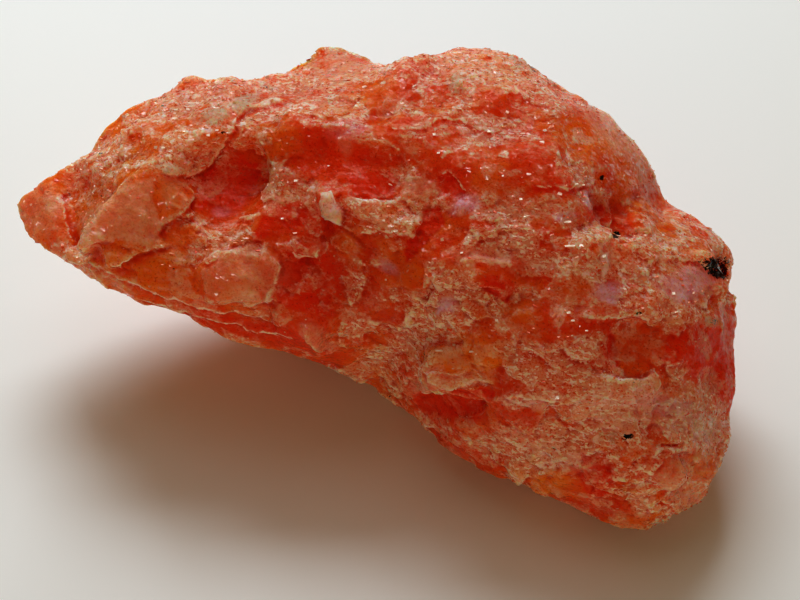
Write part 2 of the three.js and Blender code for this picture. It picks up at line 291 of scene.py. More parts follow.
# Forms read from the photograph: lines and spots in its pixels, heights in mm
ledges = {  # rise in mm, reach in pixels, and the line, raised above it where it runs left to right
    "noseCrease": (0.3, 14, [(76, 252), (69, 234), (66, 215), (60, 200), (66, 184)]),
    "lumpLip": (0.6, 20, [(78, 250), (87, 243), (98, 242), (108, 236)]),
    "lumpFoot": (0.42, 12, [(103, 262), (112, 267), (122, 268), (127, 262), (138, 254), (148, 253)]),
    "lumpStep": (0.54, 14, [(138, 255), (148, 253), (157, 249), (167, 247), (172, 240)]),
    "lumpSide": (0.48, 26, [(152, 238), (158, 232), (163, 226), (175, 221), (190, 208), (196, 192)]),
    "topLip": (0.5, 34, [(155, 172), (186, 178), (200, 172), (214, 161), (226, 146), (232, 128),
        (244, 112), (272, 104), (290, 98)]),
    "plateSide": (0.48, 40, [(200, 300), (240, 302), (270, 302), (275, 288), (282, 270), (277, 252)]),
    "plateCrack": (0.27, 12, [(196, 269), (210, 261), (224, 253)]),
    "middleFlake": (0.3, 16, [(280, 252), (300, 258), (318, 256), (322, 240)]),
    "crystalLip": (0.42, 14, [(322, 208), (330, 218), (341, 226), (343, 205)]),
    "redShelf": (-0.3, 26, [(345, 194), (368, 198), (392, 197), (408, 190)]),
    "shelfLip": (0.35, 30, [(352, 236), (380, 234), (402, 236), (415, 238), (421, 222)]),
    "upperBrow": (0.22, 24, [(384, 128), (408, 132), (430, 126), (446, 118), (462, 122), (486, 130),
        (510, 136)]),
    "pitBrow": (0.25, 18, [(436, 176), (452, 172), (462, 182), (474, 198)]),
    "browRight": (0.2, 20, [(520, 186), (546, 190), (574, 188), (592, 176)]),
    "seamRight": (0.36, 22, [(596, 268), (604, 250), (612, 228), (618, 210)]),
    "seamLow": (0.54, 30, [(576, 316), (606, 322), (634, 320), (662, 328)]),
    "endLip": (0.42, 20, [(664, 258), (690, 262), (712, 270), (728, 280)]),
    "midStreak": (0.3, 16, [(366, 262), (384, 268), (396, 280)]),
    "lowStreak": (0.36, 16, [(394, 332), (412, 324), (424, 312)]),
    "orangeLip": (0.84, 44, [(414, 392), (430, 396), (446, 391), (462, 388), (478, 382), (500, 386)]),
    "orangeStep": (0.3, 12, [(436, 372), (452, 376), (466, 372), (480, 366)]),
    "streakOne": (0.3, 14, [(514, 348), (532, 352), (548, 364), (556, 378)]),
    "roundFlake": (0.42, 18, [(560, 342), (566, 356), (584, 364), (598, 358)]),
    "facetFoot": (-0.54, 40, [(598, 372), (622, 378), (648, 376), (662, 366)]),
    "crustLip": (0.36, 16, [(500, 400), (524, 398), (552, 402), (566, 400)]),
    "crustSide": (0.3, 14, [(560, 426), (580, 420), (600, 414)]),
    "lobeLip": (0.48, 22, [(650, 462), (664, 452), (682, 450), (700, 452)]),
    "lobeFoot": (0.36, 20, [(640, 512), (662, 502), (676, 514), (690, 500)]),
    "lowerCrust": (0.42, 18, [(484, 446), (504, 462), (520, 484), (534, 470)]),
    "undersideOne": (0.3, 9, [(60, 256), (110, 274), (160, 296), (220, 312), (290, 326)]),
    "undersideTwo": (0.24, 6, [(130, 298), (180, 312), (240, 328), (300, 342)]),
    "ovalFlake": (0.42, 14, [(302, 324), (308, 342), (322, 352), (330, 346)]),
}

spots = {  # swellings and hollows: middle, half sizes and turn in the picture, and height in mm
    "wingHollow": ((226, 192), (34, 44), 30, -0.2),
    "lump": ((118, 218), (40, 26), -12, 0.6),
    "lumpBack": ((172, 192), (18, 26), 0, 0.3),
    "wingSlope": ((170, 282), (60, 18), 14, -0.3),
    "redMiddle": ((330, 165), (56, 24), 0, -0.35),
    "redBelow": ((312, 285), (36, 34), 20, -0.4),
    "redPit": ((454, 190), (16, 15), 30, 0.35),
    "redShelf": ((374, 178), (34, 16), 0, 0.4),
    "crystal": ((332, 208), (9, 18), -20, 0.6),
    "topPit": ((380, 115), (16, 8), 0, -0.3),
    "topHollow": ((410, 120), (16, 10), 0, -0.3),
    "facetOne": ((640, 346), (44, 26), 8, -0.4),
    "underLip": ((446, 406), (36, 17), 10, -0.6),
    "orangeBulge": ((462, 358), (40, 18), 0, 0.5),
    "darkHole": ((719, 268), (13, 9), 30, -0.5),
    "rightRed": ((612, 212), (22, 14), 20, -0.3),
    "lobe": ((690, 488), (32, 30), 0, 0.4),
}

calmPlaces = [  # smooth, clear faces: middle, half sizes, turn and strength
    ((118, 216), (42, 26), -12, 1), ((172, 194), (18, 26), 0, 1), ((170, 284), (84, 18), 18, 1),
    ((244, 276), (38, 26), 0, 1), ((336, 58), (40, 18), 0, 1), ((40, 216), (18, 26), 0, 1),
    ((640, 346), (34, 26), 0, 1), ((332, 209), (9, 18), -20, 1), ((690, 284), (30, 18), 0, 1),
    ((610, 150), (22, 50), -40, 1), ((462, 356), (40, 14), 0, 1), ((480, 260), (50, 12), 8, 1),
]

softened = [  # where the broken blocks' edges are worn, given in the same way
    ((454, 190), (26, 22), 0, 1), ((372, 176), (60, 30), 0, 1), ((232, 190), (60, 44), 0, 1),
    ((634, 345), (50, 40), 0, 1), ((446, 408), (50, 24), 0, 1), ((330, 80), (60, 30), 0, 1),
]

# Single crystals and bare faces: finish, strength, height in mm, how clear the rim is, and outline
crystals = [
    ("pale", 0.85, 0.15, 0.5, [(84, 245), (88, 225), (104, 203), (120, 192), (140, 182), (152, 178),
        (154, 200), (158, 221), (165, 225), (155, 237), (149, 247), (135, 246), (118, 240), (106, 236),
        (92, 243)]),
    ("orange", 1.0, 0.0, 0.3, [(156, 176), (168, 170), (182, 178), (192, 190), (190, 200), (180, 212),
        (160, 221), (155, 205)]),
    ("orange", 1.0, -0.15, 0.3, [(82, 252), (104, 238), (116, 241), (134, 250), (128, 256), (124, 268),
        (112, 266), (96, 260)]),
    ("orange", 0.9, 0.0, 0.0, [(128, 256), (150, 252), (172, 248), (192, 256), (186, 272), (172, 290),
        (150, 290), (130, 281)]),
    ("deep", 1.0, 0.0, 0.2, [(196, 198), (199, 186), (204, 178), (214, 162), (240, 160), (268, 164),
        (262, 178), (252, 192), (236, 196), (215, 205), (200, 212)]),
    ("deep", 1.0, 0.0, 0.2, [(250, 240), (262, 214), (276, 218), (270, 232), (258, 242)]),
    ("pale", 0.55, 0.2, 0.7, [(201, 272), (226, 252), (250, 243), (264, 250), (284, 268), (278, 280),
        (272, 286), (272, 299), (260, 303), (242, 303), (222, 300), (206, 291)]),
    ("deep", 0.9, -0.1, 0.2, [(285, 270), (310, 268), (332, 272), (328, 290), (318, 308), (300, 311),
        (276, 306), (275, 288)]),
    ("whiteAndGlint", 0.7, 0.3, 1.0, [(322, 192), (330, 193), (337, 203), (343, 213), (340, 226), (334, 222),
        (324, 210), (319, 202)]),
    ("pale", 0.8, 0.15, 0.6, [(300, 322), (312, 326), (323, 335), (328, 345), (320, 350), (308, 344),
        (300, 336)]),
    ("deep", 1.0, -0.1, 0.3, [(275, 205), (300, 200), (308, 210), (306, 226), (290, 232), (278, 222)]),
    ("deep", 1.3, -0.15, 0.6, [(440, 176), (452, 176), (456, 188), (468, 196), (452, 201), (448, 195),
        (437, 198), (442, 186)]),
    ("deep", 1.1, 0.0, 0.3, [(350, 176), (392, 170), (404, 180), (394, 194), (372, 199), (348, 194)]),
    ("pale", 0.6, 0.2, 0.5, [(404, 178), (420, 176), (436, 182), (436, 197), (418, 201), (400, 192)]),
    ("frost", 0.8, 0.1, 0.8, [(350, 200), (370, 200), (410, 201), (424, 209), (420, 225), (414, 238),
        (400, 236), (388, 226), (368, 232), (352, 222)]),
    ("deep", 1.0, -0.1, 0.3, [(424, 210), (440, 208), (444, 225), (430, 240), (408, 262), (404, 245),
        (416, 230)]),
    ("orange", 0.5, 0.0, 0.5, [(440, 262), (465, 264), (500, 270), (530, 268), (545, 280), (530, 292),
        (500, 284), (470, 280), (444, 276)]),
    ("deep", 1.3, -0.15, 0.4, [(478, 286), (500, 284), (513, 292), (508, 305), (496, 297)]),
    ("lilac", 1.2, 0.1, 0.8, [(600, 286), (615, 290), (617, 306), (606, 304), (600, 296)]),
    ("lilac", 1.2, 0.1, 0.6, [(442, 300), (450, 298), (451, 308), (438, 313)]),
    ("lilac", 0.9, 0.1, 0.5, [(453, 204), (470, 201), (483, 207), (462, 212), (450, 210)]),
    ("whiteAndGlint", 1.0, 0.2, 0.8, [(602, 254), (610, 252), (608, 270), (600, 281), (601, 264)]),
    ("lilac", 1.0, 0.1, 0.7, [(583, 188), (588, 189), (589, 206), (584, 205)]),
    ("deep", 1.1, -0.1, 0.4, [(588, 210), (600, 204), (618, 214), (622, 228), (604, 224), (590, 218)]),
    ("deep", 0.8, 0.0, 0.3, [(530, 184), (574, 181), (578, 192), (534, 195)]),
    ("orange", 1.4, 0.0, 0.4, [(432, 350), (450, 346), (480, 346), (498, 352), (502, 368), (484, 372),
        (462, 374), (440, 368)]),
    ("deep", 1.2, -0.1, 0.3, [(430, 398), (458, 394), (480, 388), (494, 392), (488, 402), (478, 412),
        (456, 414), (436, 408)]),
    ("orange", 0.9, 0.0, 0.4, [(616, 332), (628, 322), (650, 324), (662, 336), (658, 356), (654, 374),
        (632, 380), (618, 366)]),
    ("deep", 1.1, -0.1, 0.2, [(600, 342), (614, 328), (617, 340), (619, 368), (602, 362)]),
    ("frost", 1.1, 0.2, 0.9, [(564, 340), (584, 338), (594, 344), (598, 356), (590, 364), (574, 358),
        (566, 350)]),
    ("deep", 0.9, -0.1, 0.3, [(672, 327), (700, 322), (720, 331), (716, 350), (700, 366), (680, 370),
        (664, 358), (668, 340)]),
    ("pale", 0.7, 0.2, 0.9, [(652, 404), (672, 400), (692, 408), (688, 417), (668, 412)]),
    ("orange", 1.2, 0.1, 0.4, [(690, 456), (716, 458), (723, 466), (706, 475), (692, 470)]),
    ("frost", 1.4, 0.2, 0.7, [(505, 398), (520, 394), (556, 396), (556, 403), (520, 403)]),
    ("frost", 1.2, 0.2, 0.5, [(512, 462), (530, 452), (560, 450), (574, 470), (560, 478), (530, 474),
        (516, 485), (506, 474)]),
    ("orange", 1.3, 0.0, 0.3, [(530, 480), (560, 468), (575, 480), (560, 493), (536, 495)]),
    ("deep", 0.9, -0.1, 0.3, [(576, 470), (610, 464), (616, 490), (596, 500), (580, 490)]),
    ("pale", 0.8, 0.1, 0.3, [(654, 470), (664, 466), (672, 474), (668, 484), (656, 482)]),
    ("pale", 0.9, 0.1, 0.4, [(680, 492), (690, 486), (697, 494), (688, 505), (679, 502)]),
]


def lineDistance(pixels, line):
    line = np.array(line, float)
    nearest = np.full(len(pixels), 1e9)
    side = np.zeros(len(pixels))
    along = np.zeros(len(pixels))
    lengths = np.linalg.norm(np.diff(line, axis=0), axis=1)
    start = 0
    for a, b, length in zip(line[:-1], line[1:], lengths):
        way = (b - a) / length
        rel = pixels - a
        t = np.clip(rel @ way, 0, length)
        off = np.linalg.norm(rel - t[:, None] * way, axis=1)
        cross = -(way[0] * rel[:, 1] - way[1] * rel[:, 0])
        closer = off < nearest
        nearest = np.where(closer, off, nearest)
        side = np.where(closer, np.sign(cross), side)
        along = np.where(closer, start + t, along)
        start += length
    return nearest * side, along, start


def around(pixels, line, margin):
    return np.all((pixels > np.min(line, 0) - margin) & (pixels < np.max(line, 0) + margin), 1)


noLip = 1.5  # mm, further from a lip's line than its paint reaches


def ledgeShift(pixels, wobble):  # the shift outwards, the way to a lip's line in mm, and the shade below
    total = np.zeros(len(pixels))
    lip = np.full(len(pixels), noLip)
    shade = np.zeros(len(pixels))
    for rise, reach, line in ledges.values():
        close = around(pixels, line, 3 * reach)
        off, along, length = lineDistance(pixels[close] + wobble[close], line)
        taper = ease(along / 12) * ease((length - along) / 12)
        above = np.exp(-np.clip(off, 0, None) / reach) * ease((off + 1.2) / 2.4)
        below = -0.35 * np.exp(np.clip(off, None, 0) / (0.6 * reach)) * ease((1.2 - off) / 2.4)
        beyond = np.where((along <= 0) | (along >= length), np.exp(-np.abs(off) / 4), 1)
        total[close] += rise * (above + below) * taper * beyond
        outer = off * np.sign(rise)
        lip[close] = np.minimum(lip[close], np.abs(outer - 1) * photo["mmPerPixel"] + 0.4 * (1 - taper))
        fall = np.exp(np.clip(outer, None, 0) / 4) * (outer < 0)
        shade[close] = np.maximum(shade[close], fall * taper * beyond)
    return total, lip, shade


def inSpot(pixels, at, size, turn):
    a = math.radians(turn)
    rel = pixels - np.array(at)
    x = (rel[:, 0] * math.cos(a) + rel[:, 1] * math.sin(a)) / size[0]
    y = (-rel[:, 0] * math.sin(a) + rel[:, 1] * math.cos(a)) / size[1]
    return np.hypot(x, y)


def spotShift(pixels):
    total = np.zeros(len(pixels))
    for at, size, turn, height in spots.values():
        total += height * ease(1.25 - inSpot(pixels, at, size, turn))
    return total


def covered(pixels, patches, edge, share=1.0):  # the strongest patch at each point, out to edge half sizes
    mask = np.zeros(len(pixels))
    for at, size, turn, strength in patches:
        mask = np.maximum(mask, share * strength * ease(edge - inSpot(pixels, at, size, turn)))
    return mask


def insideBy(pixels, outline):  # how far inside the outline, negative outside
    line = outline + outline[:1]
    gap = np.abs(lineDistance(pixels, line)[0])
    inside = np.zeros(len(pixels), bool)
    for (ax, ay), (bx, by) in zip(line[:-1], line[1:]):
        if ay == by:
            continue
        crossed = (ay > pixels[:, 1]) != (by > pixels[:, 1])
        inside ^= crossed & (pixels[:, 0] < ax + (pixels[:, 1] - ay) * (bx - ax) / (by - ay))
    return np.where(inside, gap, -gap)


def crystalShapes(pixels, wobble):  # the shift outwards, the way to a rim in mm, and a mask for each finish
    shift = np.zeros(len(pixels))
    rim = np.full(len(pixels), noLip)
    masks = {crystal[0]: np.zeros(len(pixels)) for crystal in crystals}
    for finish, strength, height, clearness, outline in crystals:
        close = around(pixels, outline, 8)
        depth = insideBy(pixels[close] + wobble[close], outline)
        share = ease(0.5 + depth / 3)
        shift[close] += height * share
        masks[finish][close] = np.maximum(masks[finish][close], strength * share)
        rim[close] = np.minimum(rim[close], np.abs(depth) * photo["mmPerPixel"] + 0.3 * (1 - clearness))
    return shift, rim, masks


# Where each finish shows: spots in the photograph, with how strong each is
finishes = {
    "frost": [
        ((330, 60), (50, 16), 0, 0.7), ((215, 95), (60, 22), -8, 0.9), ((105, 160), (40, 20), -32, 0.6),
        ((420, 68), (60, 16), 0, 0.7), ((290, 90), (40, 24), 0, 0.4), ((335, 92), (24, 14), 0, 0.6),
        ((96, 215), (22, 26), 0, 0.5), ((175, 166), (34, 12), 0, 0.6), ((282, 182), (24, 18), 30, 0.6),
        ((425, 133), (28, 8), -8, 0.8), ((490, 128), (34, 10), 6, 0.7), ((386, 216), (44, 16), 4, 0.6),
        ((480, 205), (60, 12), 4, 0.6), ((556, 205), (60, 22), 10, 0.35), ((508, 250), (26, 20), 0, 0.6),
        ((450, 300), (40, 20), -10, 0.6), ((570, 290), (60, 34), 4, 0.2), ((580, 350), (22, 16), 0, 0.8),
        ((620, 400), (50, 26), 6, 0.8), ((545, 455), (56, 24), 14, 0.7), ((700, 428), (40, 18), 12, 0.9),
        ((690, 385), (36, 14), 0, 0.6), ((600, 432), (40, 12), -4, 0.8), ((430, 330), (36, 14), -18, 0.5),
        ((530, 400), (34, 8), 0, 0.9), ((520, 355), (40, 24), 30, 0.4), ((670, 500), (26, 24), 0, 0.5),
        ((390, 352), (14, 8), 0, 0.7), ((540, 70), (40, 18), 30, 0.5), ((660, 285), (60, 26), 0, 0.5),
    ],
    "clay": [
        ((214, 120), (16, 10), -8, 0.9), ((246, 104), (18, 9), -14, 0.9), ((168, 167), (14, 6), 10, 0.8),
        ((268, 88), (10, 5), 40, 0.7), ((356, 66), (12, 8), 20, 0.5), ((456, 86), (9, 12), 0, 0.9),
        ((526, 64), (18, 9), 24, 0.8), ((650, 175), (14, 22), -30, 0.6), ((716, 318), (8, 8), 0, 0.8),
        ((713, 267), (18, 12), 20, 0.6), ((615, 432), (18, 5), -4, 0.7), ((706, 426), (26, 10), 12, 0.5),
    ],
    "orange": [
        ((195, 140), (36, 8), -4, 0.8), ((170, 195), (16, 24), 0, 0.5), ((130, 262), (34, 16), 16, 0.8),
        ((130, 225), (30, 20), 0, 0.4), ((345, 108), (24, 12), -20, 0.7), ((484, 60), (14, 8), 0, 0.8),
        ((462, 355), (46, 17), 0, 1.0), ((640, 346), (20, 26), 0, 0.6), ((555, 482), (44, 12), 14, 0.8),
        ((700, 466), (30, 12), -14, 0.8), ((650, 520), (44, 10), -6, 0.6),
        ((640, 150), (24, 36), -30, 0.6), ((640, 240), (26, 22), 0, 0.5), ((170, 275), (50, 14), 14, 0.5),
        ((592, 410), (16, 8), 0, 0.6),
    ],
    # deep red, partly painted shade: the hollows, the band under the lower edge, under the lips, and the
    # right end that turns from the light
    "deep": [
        ((226, 190), (34, 36), 30, 1.0), ((340, 168), (60, 24), 0, 0.8), ((310, 280), (36, 32), 20, 0.8),
        ((455, 190), (18, 15), 30, 1.0), ((370, 186), (36, 12), 0, 0.9), ((446, 406), (38, 16), 10, 1.0),
        ((250, 330), (90, 12), 14, 0.8), ((612, 216), (24, 14), 20, 0.8), ((560, 186), (30, 10), 0, 0.6),
        ((636, 350), (40, 24), 0, 0.6), ((706, 350), (24, 30), 0, 1.0), ((724, 362), (18, 46), 0, 1.0),
        ((500, 286), (20, 8), 24, 0.9), ((520, 272), (40, 12), 8, 0.5), ((432, 248), (34, 14), 4, 0.6),
        ((300, 215), (40, 20), 0, 0.7), ((590, 480), (24, 24), 0, 0.5), ((462, 458), (44, 18), 36, 0.5),
        ((410, 122), (20, 7), 0, 0.7), ((60, 228), (14, 22), 0, 0.4),
    ],
    "lilac": [
        ((448, 302), (8, 8), 0, 0.9), ((608, 293), (11, 10), 20, 1.0), ((690, 282), (26, 14), -10, 0.7),
        ((568, 218), (9, 5), 0, 0.8), ((588, 200), (5, 12), 0, 0.6), ((660, 405), (30, 8), 6, 0.5),
        ((388, 270), (9, 5), 30, 0.8), ((222, 215), (9, 4), 0, 0.4), ((464, 206), (14, 8), -20, 0.6),
        ((345, 130), (18, 10), 0, 0.4),
    ],
    "whiteAndGlint": [
        # the two smallest spots are painted glints; the rest is white crystal
        ((206, 134), (4, 3), 0, 1.0), ((162, 147), (3, 3), 0, 1.0), ((628, 128), (9, 44), -42, 0.5),
        ((625, 405), (40, 20), 0, 0.35), ((700, 430), (34, 13), 12, 0.4), ((530, 400), (26, 5), 0, 0.4),
        ((560, 460), (30, 12), 14, 0.3),
    ],
    "pale": [
        ((38, 212), (20, 24), 0, 0.6), ((172, 196), (12, 18), 0, 0.35), ((315, 336), (14, 9), 40, 0.7),
        ((246, 276), (34, 24), 0, 0.5), ((606, 252), (6, 11), 20, 0.9), ((345, 146), (6, 12), -10, 0.5),
        ((624, 130), (18, 52), -42, 1.0), ((420, 188), (14, 9), 0, 0.5), ((446, 384), (34, 7), -8, 0.7),
        ((685, 478), (24, 20), -30, 0.5), ((110, 278), (22, 7), 26, 0.5),
    ],
    "dark": [
        ((716, 269), (14, 8), 30, 0.85), ((722, 262), (9, 6), 50, 0.6), ((702, 264), (7, 3), 10, 0.5),
        ((616, 234), (4, 3), 0, 1.0), ((628, 436), (6, 3), -10, 0.9), ((716, 320), (4, 4), 0, 0.5),
        ((534, 68), (5, 3), 60, 0.6), ((270, 92), (8, 2.5), 40, 0.5), ((638, 317), (4, 2), 0, 0.7),
        ((603, 178), (2.5, 2.5), 0, 0.8), ((685, 520), (4, 4), 0, 0.6),
    ],
}

unseen = {  # clouds of each finish on the hidden sides: start, gain, size in mm, draw and strength
    "frost": (0.5, 1.6, 9, 71, 0.8),
    "deep": (0.5, 1.6, 8, 75, 0.8),
    "orange": (0.2, 1.8, 10, 79, 0.7),
    "clay": (-1.3, 3.5, 7, 83, 0.9),
    "pale": (-1.0, 3, 6, 87, 0.7),
    "lilac": (-1.1, 3, 5, 91, 0.7),
    "dark": (-3.6, 6, 4, 95, 1),
}


def finishMasks(points, pixels, seen):
    wobble = np.stack([cloud(points, 3.5, 61), cloud(points, 3.5, 65)], 1) * 8
    masks = {}
    for name, patches in finishes.items():
        swing = 0.35 if name == "dark" else 1.0
        masks[name] = covered(pixels + wobble * swing, patches, 1.6) * seen
    for name, (start, gain, size, draw, strength) in unseen.items():
        masks[name] += (1 - seen) * ease(start + gain * cloud(points, size, draw)) * strength
    return masks


def makeStone():
    mesh = remeshed(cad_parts["sylvite_stone"])
    points, ends = closedNet(mesh)
    degree = np.bincount(ends.ravel(), minlength=len(points)).astype(float)
    points = smooth(points, ends, degree, stoneMesh["smoothRounds"])
    rounded = smooth(points, ends, degree, stoneMesh["thornRounds"], keepSize=False)
    out = dots(points - rounded, normalsOf(mesh, points))
    thorns = ease((out - stoneMesh["thorn"]) / stoneMesh["thornSoft"])
    points = points + stoneMesh["wear"] * thorns[:, None] * (rounded - points)
    points = smooth(points, ends, degree, 4)
    base = points
    normals = normalsOf(mesh, points)
    broad = unit(smooth(normals, ends, degree, stoneMesh["broadRounds"], keepSize=False))
    facing = broad @ towardCamera
    seen = ease((facing - 0.02) / 0.2)  # 1 on what the photograph shows, 0 behind
    coloured = ease((facing + 0.25) / 0.25)  # the same, but a little way round the back
    pixels = toPhoto(points)
    mesh.calc_loop_triangles()
    print("stone: remeshed to", len(points), "vertices and", len(mesh.loop_triangles), "triangles")

    worn = covered(pixels, softened, 1.6, coloured)
    flattened = smooth(points, ends, degree, stoneMesh["wornRounds"], keepSize=False)
    points = points + (stoneMesh["wear"] * worn)[:, None] * (flattened - points)
    points = points + normals * (seen * spotShift(pixels))[:, None]
    least, more = breakage["strength"]
    rough = least + more * ease(0.5 + 1.5 * cloud(base, 7, 31))
    slant, start, run = breakage["topLine"]
    rough *= 1 - breakage["topWear"] * ease((pixels @ np.array(slant) - start) / run)
    calm = covered(pixels, finishes["deep"] + calmPlaces, 1.5, seen)
    frosty = covered(pixels, finishes["frost"], 1.5, seen)
    broken = {size: flatFaces(base, breakage[size]) for size in ("blocks", "flakes", "crumbs")}
    clearBlocks = ease((breakage["clearBlocks"] - broken["blocks"][1]) / 0.1) * (1 - 0.8 * frosty)
    calm = np.maximum(calm, 0.85 * clearBlocks)
    rough *= 1 - breakage["calmWear"] * calm
    faces = {"calm": calm}
    for size, (height, tone, border) in broken.items():
        points = points + broad * (rough * height)[:, None]
        faces[size + "Tone"], faces[size + "Border"] = tone, border
    wobble = np.stack([cloud(base, 1.6, 101), cloud(base, 1.6, 105)], 1) * 5
    shift, lip, shade = ledgeShift(pixels, wobble)
    rise, rim, bare = crystalShapes(pixels, wobble * 0.7)
    lip = np.minimum(lip, rim)
    points = points + normals * (seen * (shift + rise))[:, None]
    points = smooth(points, ends, degree, 1, keepSize=False)

    points = inCadBox(points)
    resting = base[:, 2] < stoneMesh["underside"]  # nearly flat, with its hollows off the table
    points[resting, 2] = np.minimum(points[resting, 2], 0.25 + 0.6 * base[resting, 2])
    points[:, 2] = np.maximum(points[:, 2], 0)

    normals = normalsOf(mesh, points)
    proud, edge = (
        dots(points - smooth(points, ends, degree, stoneMesh[rounds], keepSize=False), normals)
        for rounds in ("proudRounds", "edgeRounds")
    )
    masks = finishMasks(base, pixels, coloured)
    clear = np.zeros(len(points))
    for name, mask in bare.items():
        masks[name] = np.maximum(masks[name], mask * coloured)
        if name != "frost":
            clear = np.maximum(clear, mask * coloured)
    clear = 0.8 * np.clip(clear, 0, 1)
    masks["frost"] *= 1 - clear
    faces["calm"] = np.maximum(faces["calm"], clear)
    masks["proud"] = np.clip(0.5 + proud / 1.2, 0, 1)
    masks["edge"] = np.clip(edge / stoneMesh["edgeHeight"] - 0.2, 0, 1)
    # painted shade in the creases
    masks["creaseShade"] = np.clip(-edge / stoneMesh["edgeHeight"] - 0.15, 0, 1)
    masks["lipLine"] = np.where(seen > 0.5, lip, noLip)
    masks["shade"] = shade * seen
    start, run = stoneMesh["wing"]
    masks["wing"] = ease((-points @ rightward - start) / run)
    masks.update(faces)
    for name, mask in masks.items():
        layer = mesh.attributes.new(name, "FLOAT", "POINT")
        layer.data.foreach_set("value", np.clip(mask, 0, 1.5).astype(np.float32))
    mesh.shade_smooth()
    stone = placed("sylviteStone", mesh)
    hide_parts("sylvite_stone")
    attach(stone, "root")
    return stone


# The salt's finish
salt = {
    "red": (0.74, 0.070, 0.003),
    # the stone's deep red, also used as painted shade
    "deepRed": (0.78, 0.044, 0.0003),
    "orange": (0.82, 0.205, 0.014),
    "frost": (0.80, 0.465, 0.315),
    # pale rims and flecks; the flecks are partly painted sparkle
    "paleStrokeAndSparkle": (0.88, 0.66, 0.52),
    "pale": (0.76, 0.42, 0.29),
    # painted shade for the creases and the fine cracks
    "creaseShade": (0.46, 0.034, 0.003),
    "lilac": (0.76, 0.44, 0.52),
    # white crystal, also used for two painted glints
    "whiteAndGlint": (0.88, 0.66, 0.56),
    "clay": (0.60, 0.47, 0.33),
    "dark": (0.012, 0.012, 0.008),
    "scatter": (14, 2.4, 0.8),  # mm that red, green and blue light spread inside
    "cloudiness": 0.75,
    "roughness": 0.24,
    "index": 1.49,
    "shine": 0.12,
    "glint": 0.9,  # a clear coat on one grain in three
    "glintRoughness": 0.04,
    "glintTilts": {"middle": 1.4, "small": 1.4},
    "grainSizes": {"big": 2.6, "middle": 0.6, "small": 0.2},  # mm
    "grainStretch": {"big": 1.6, "middle": 1.7, "small": 2.8},
    "grainTilts": {"big": 0.15, "middle": 0.45, "small": 0.35},
    "grainWander": (0.9, 2, 1.0),  # noise that makes their borders ragged: mm, detail and reach in mm
    "grainTurn": 0.3,
    "noises": {"broad": (9, 3), "middle": (2.2, 4), "fine": (0.26, 4), "rim": (1.1, 2)},  # mm, detail
    "bump": (0.2, 0.7),  # mm, strength
    "cover": {  # the share that is frosted: what there is everywhere, and what each place adds
        "everywhere": 0.22,
        "frost": 0.42,
        "proud": 0.3,
        "deep": -0.12,
        "calm": -0.13,
        "tones": {"blocksTone": 0.34, "flakesTone": 0.58, "crumbsTone": 0.30},
        "grain": 0.12,
        "cloud": 0.7,
        "most": 0.60,
    },
    "crumble": (1.7, 0.15, 4.5),  # how the fine noise breaks the frosting up: gain, lift and sharpness
    "strokes": {"blocks": (0.10, 0.9), "flakes": (0.09, 1.0), "crumbs": (0.06, 0.85)},  # mm, strength
}


